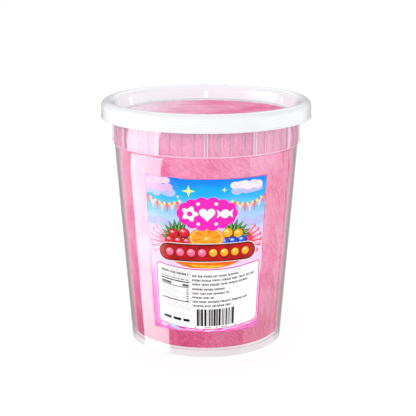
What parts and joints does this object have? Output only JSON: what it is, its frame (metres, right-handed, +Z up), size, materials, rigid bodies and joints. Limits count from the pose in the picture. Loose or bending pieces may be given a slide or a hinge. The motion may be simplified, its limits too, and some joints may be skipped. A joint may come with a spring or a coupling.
{
  "type": "lidded tub of cotton candy",
  "caption": "Round clear plastic tub with a snapped-on lid, packed full of pink spun sugar, with a wrapped printed label on its front.",
  "frame": {"origin": "on the tub's axis, on the surface that it stands on", "axes": "+Z up along the tub's axis; the label faces -Y; +X is to the right of a viewer who faces the label"},
  "size_m": [0.1184, 0.1184, 0.1381],
  "materials": {
    "tub_plastic": "clear, glossy, thin-walled",
    "lid_plastic": "milky translucent, glossy",
    "spun_sugar": "matte, fibrous, soft",
    "label_print": "glossy printed film"
  },
  "bodies": {
    "root": {"tub": "tub_plastic", "lid": "lid_plastic", "candy": "spun_sugar", "label": "label_print"}
  },
  "joints": []
}
